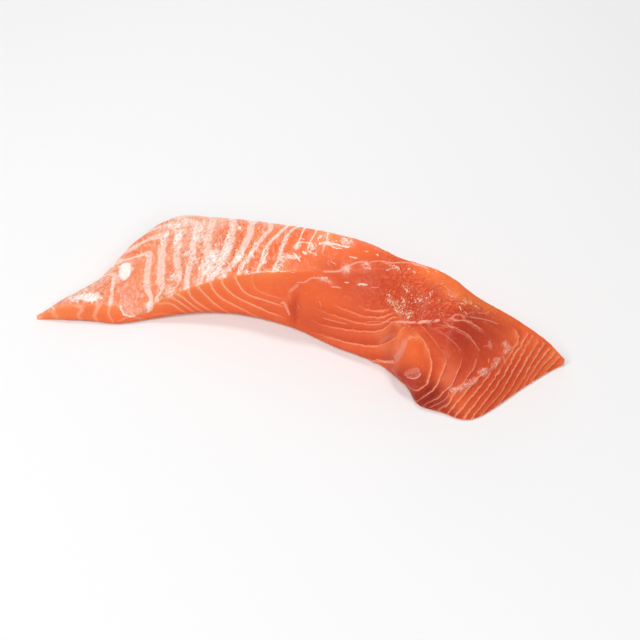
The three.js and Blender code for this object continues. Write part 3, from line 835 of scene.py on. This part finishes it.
def addRelief(grid, found, sparkle):
    out = relief["waves"] * (lumps(grid, 14, 11) + 0.6 * lumps(grid, 6, 12))
    for name in ("bands", "cut"):
        phase, _, strength = found[name]
        out += relief[name] * strength * (0.5 - 0.5 * np.cos(2 * math.pi * phase))
    phase, _, strength = found["rings"]
    out += relief["flakes"] * strength * ((phase % 1) ** 1.5 - 0.4)
    stretched = grid * [1.0, 1.0, 1.6]
    wrinkled = lumps(stretched, 1.5, 13) + 0.7 * lumps(stretched, 0.9, 14)
    skin = np.clip(found["inner"] + found["under"], 0, 1)
    out += relief["wrinkles"] * wrinkled * skin * (0.5 + 0.6 * sparkle)
    out += relief["grain"] * lumps(grid, 1.1, 15)
    out += foldHeight(found["x"], found["b"]) * (1 - found["under"])
    return pushedOut(grid, out * smooth(grid[..., 2], 0, 1.2))


grid, marks = stripGrid()
grid = centred(addSwells(grid))
found = stripLooks(grid, marks)
x, b, upper = found["x"], found["b"], 1 - found["under"]
sparkle = blobs(x, b, spots["sparkle"]) * found["inner"]
shaped = addRelief(grid, found, sparkle)

attributes = {"ground": groundColour(found)}
for name in septa:
    phase, width, strength = found[name]
    attributes[name] = np.stack([phase, width / 2 * perMillimetre(phase, grid), strength], axis=-1)
for name, lines in strokes.items():
    attributes[name] = strokeField(x, b, lines)
    attributes[name][..., 2] *= upper
attributes["small"] = np.stack([sparkle, blobs(x, b, spots["specks"]), blobs(x, b, spots["film"])], axis=-1)
skin = np.clip(found["inner"] * (1 - 0.7 * smooth(x, -20, -4)) * smooth(x, 20, 2) + found["under"], 0, 1)
torn = blobs(x, b, spots["torn"]) * upper * smooth(b, 45.5, 43.5)
grained = smooth(x, 16, 32) * (1 - smooth(b, 34, 42) * 0.8) * found["above"]
attributes["sides"] = np.stack([skin, torn, grained], axis=-1)
salmon = stripMesh("salmonFlesh", shaped, attributes)
print("strip lofted,", len(salmon.data.polygons), "faces")


class Wire:
    # one output socket, so that 1 - mask or a * b adds the Math node it needs
    def __init__(self, nodes, socket):
        self.nodes, self.socket = nodes, socket

    def math(self, operation, *others):
        return self.nodes.add("ShaderNodeMath", {"operation": operation}, (self, *others))

    __add__ = __radd__ = partialmethod(math, "ADD")
    __sub__ = partialmethod(math, "SUBTRACT")
    __rsub__ = partialmethod(math, "MULTIPLY_ADD", -1)
    __mul__ = __rmul__ = partialmethod(math, "MULTIPLY")
    __abs__ = partialmethod(math, "ABSOLUTE")


class Nodes:
    def __init__(self, material):
        material.use_nodes = True
        self.tree = material.node_tree
        self.shader = self.tree.nodes["Principled BSDF"]
        self.colour = self.attribute("ground")

    def add(self, kind, settings=None, values=(), output=0):
        node = self.tree.nodes.new(kind)
        for name, value in (settings or {}).items():
            setattr(node, name, value)
        pairs = values.items() if isinstance(values, dict) else enumerate(values)
        for name, value in pairs:
            self.feed(node.inputs[name], value)
        return Wire(self, node.outputs[output])

    def feed(self, socket, value):
        if isinstance(value, Wire):
            self.tree.links.new(value.socket, socket)
        elif isinstance(value, tuple) and socket.type == "RGBA":
            socket.default_value = (*value, 1)
        else:
            socket.default_value = value

    def mix(self, factor, first, second, blend="MIX"):
        return self.add("ShaderNodeMix", {"data_type": "RGBA", "blend_type": blend, "clamp_factor": True},
                        {0: factor, 6: first, 7: second}, output=2)

    def lay(self, amount, colour, blend="MIX"):
        # another colour over what has been laid so far
        self.colour = self.mix(amount, self.colour, fleshColours.get(colour, colour), blend)

    def between(self, value, zero, one):
        # the same soft step as smooth
        return self.add("ShaderNodeMapRange", {"interpolation_type": "SMOOTHSTEP"},
                        {"Value": value, "From Min": zero, "From Max": one})

    def within(self, apart, half, softness):
        # 1 inside a line, 0 outside it
        return self.between(apart, half * (1 + softness), half * (1 - softness))

    def attribute(self, name):
        return self.add("ShaderNodeAttribute", {"attribute_name": name}, output="Vector")

    def parts(self, name):
        split = self.add("ShaderNodeSeparateXYZ", {}, [self.attribute(name)])
        return [Wire(self, socket) for socket in split.socket.node.outputs]

    def noise(self, size, detail=2.0, drawn=1.0, turn=0, rough=0.5, twist=0.0):
        # lumps about size millimetres across, drawn out along a direction turned from the length
        place = self.add("ShaderNodeTexCoord", output="Object")
        place = self.add("ShaderNodeVectorMath", {"operation": "SCALE"}, {"Vector": place, "Scale": 1 / mm})
        place = self.add("ShaderNodeMapping", {"vector_type": "TEXTURE"},
                         {"Vector": place, "Rotation": (0, 0, math.radians(turn)), "Scale": (drawn, 1, 1)})
        return self.add("ShaderNodeTexNoise", {}, {"Vector": place, "Scale": 1 / size, "Detail": detail,
                                                   "Roughness": rough, "Distortion": twist})

    def fatLines(self, name, shake, softness, swell=1.0):
        # the lines of a family, and how far round each place is from one line to the next
        phase, halfWidth, strength = self.parts(name)
        turn = (phase + shake * halfWidth).math("FRACT")
        halfWidth = halfWidth * swell
        apart = 0.5 - abs(turn - 0.5)
        edge = self.between(apart, halfWidth * 0.45, halfWidth * 0.85)
        return self.within(apart, halfWidth, softness) * strength, turn, strength, edge

    def strokes(self, name, shake, softness):
        across, half, shown = self.parts(name)
        return self.within(abs(across + shake), half, softness) * shown


def fleshMaterial():
    material = bpy.data.materials.new("salmonFlesh")
    nodes = Nodes(material)
    noise, between, lay = nodes.noise, nodes.between, nodes.lay
    sparkle, specks, film = nodes.parts("small")
    skin, torn, thick = nodes.parts("sides")

    fine = noise(0.8, detail=3)
    grain = noise(0.32)
    broad = noise(3)
    patchy = noise(5, detail=3)
    grains = noise(0.85, detail=3, drawn=2.0, turn=35, rough=0.6)
    shake = noise(1.5) - 0.5
    streaks = noise(1.1, drawn=2.6, turn=-62, twist=0.5)
    gaps = noise(0.6, drawn=3.4, turn=58, twist=0.8)
    wrinkle = noise(1.7, drawn=1.4, turn=-40, twist=1.4)
    hairs = noise(0.4, drawn=3, turn=75, twist=0.3)
    dots = noise(0.55, detail=3, drawn=1.4, turn=35, rough=0.65, twist=1.0)

    # the ground, blotched and grained
    lay((patchy - 0.5) * 0.5, "dark")
    lay(between(grains, 0.42, 0.6) * thick * 0.65, "dark")
    lay(between(grains, 0.4, 0.3) * thick * 0.3, "line")
    lay(between(fine, 0.52, 0.72) * 0.10, "line")
    lay(between(grain, 0.45, 0.25) * 0.12, "muscle")

    # thin fat lines, with the flake sinking away behind each, its step painted in shade and light
    ringLines, turn, shown, _ = nodes.fatLines("rings", shake * 2.4 + (broad - 0.5) * 2.5, 0.45)
    # painted shade: each ring flake darker just behind its line
    lay(between(turn, 0.75, 0.1) * shown * (0.3 + fine * 0.4), "dark")
    # painted light: each ring flake lighter just before the next line
    lay(between(turn, 0.6, 0.95) * shown * 0.2, "orange")
    cutLines, turn, shown, _ = nodes.fatLines("cut", shake * 1.5, 0.5)
    # painted light: each cut flake a little lighter just before the next line
    lay(between(turn, 0.6, 0.95) * shown * 0.12, "line")
    lay(cutLines * (0.55 + fine * 0.5), "line")
    lay(ringLines * (0.55 + fine * 0.6), "ringLine")

    # broad bands under a wrinkled film
    bandMask, _, _, edge = nodes.fatLines("bands", shake * 0.8 + (streaks - 0.5) * 0.3, 0.75, 0.5 + broad)
    lay(film * between(wrinkle + fine * 0.4, 0.45, 0.85) * 0.9, "film")
    lay(bandMask * (0.75 + streaks * 0.5 + patchy * 0.5 - gaps * 0.6), "band")
    lay(bandMask * edge * 0.6, "bandEdge")
    lay(between(streaks + sparkle * 0.1, 0.48, 0.7) * skin * 0.35, "bandEdge")
    lay(between(gaps, 0.46, 0.3) * skin * 0.25, "rim")

    # painted wet glitter and sheen, torn curls painted white partly as glints, and painted shade in the
    # crevices of the film
    lay(between(sparkle + (streaks - 0.5) * 0.7, 0.25, 0.75) * 0.9, "frostAndSheen")
    glitter = between(streaks + sparkle * 0.24, 0.66, 0.78) * between(sparkle, 0.05, 0.3)
    lay(glitter * 0.9, "sparkle")
    white = nodes.mix(skin, fleshColours["shredAndGlint"], fleshColours["sparkle"])
    lay(between(torn + (wrinkle - 0.5) * 1.4, 0.35, 0.5) * 0.5, "frostAndSheen")
    curlsAndGlints = between(abs(wrinkle - 0.5), 0.036, 0.012) * between(torn + sparkle * 0.4 + broad * 0.4, 0.4, 0.6)
    lay(curlsAndGlints * 0.9, white)
    creviceReach = between(sparkle + torn + (0.15 + broad * 0.45) * skin, 0.15, 0.55)
    # painted shade: the film darkened in its crevices
    creviceShade = between(gaps, 0.52, 0.61) * creviceReach
    lay(creviceShade * 0.8, "gap", "MULTIPLY")
    # painted shade in folds and beside raised edges
    lay(nodes.strokes("foldShades", shake * 0.9, 0.9) * between(fine, 0.36, 0.56), "foldShade", "MULTIPLY")

    # threads with some painted sheen, shreds with painted glints, and painted cream glints as dots, on top
    threadsAndSheens = nodes.strokes("threadsAndSheens", shake * 0.25, 0.5)
    lay(threadsAndSheens * (0.6 + fine * 0.5), "seamAndSheen")
    fibres = nodes.strokes("fibres", shake * 1.6, 1.0)
    lay(fibres * 0.35, "film")
    fibres = fibres * between(hairs, 0.45, 0.65)
    lay(fibres, "fibre")
    whiteShredsAndGlints = nodes.strokes("whiteShredsAndGlints", shake * 0.9 + (streaks - 0.5) * 0.8, 0.5)
    lay(whiteShredsAndGlints * (0.6 + fine * 0.6), white)
    # painted cream glints scattered over the muscle above the crease
    dots = dots + specks * (0.12 + broad * 0.16)
    speckled = between(specks, 0.02, 0.2)
    lay(between(dots, 0.65, 0.73) * speckled * 0.55, "speck")
    dots = between(dots, 0.71, 0.77) * speckled
    lay(dots * 0.9, "shredAndGlint")

    wet = dots.math("MAXIMUM", glitter).math("MAXIMUM", whiteShredsAndGlints).math("MAXIMUM", curlsAndGlints)
    height = (fine * 0.25 + grain * 0.12 + wet * 0.12 + fibres * 0.3 + threadsAndSheens * 0.25 + skin * streaks * 0.35
              - creviceShade * 0.15 - cutLines * 0.15 + ringLines * 0.15)
    inputs = nodes.shader.inputs
    nodes.feed(inputs["Base Color"], nodes.colour)
    nodes.feed(inputs["Roughness"],
               gloss["roughness"] - skin * 0.10 + cutLines * 0.05 - wet * 0.15 + (fine - 0.5) * 0.12)
    nodes.feed(inputs["Normal"], nodes.add("ShaderNodeBump", {}, {"Strength": 0.8, "Distance": 0.4 * mm,
                                                                  "Height": height}))
    nodes.feed(inputs["Coat Weight"], gloss["coat"] + skin * gloss["skinCoat"] + wet * gloss["wetCoat"])
    for name, value in sameAllOver.items():
        inputs[name].default_value = value
    return material


def dress():
    salmon.data.materials.append(fleshMaterial())
    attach(salmon, "root")
    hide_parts("salmon_piece")


dress()
print("flesh coloured")
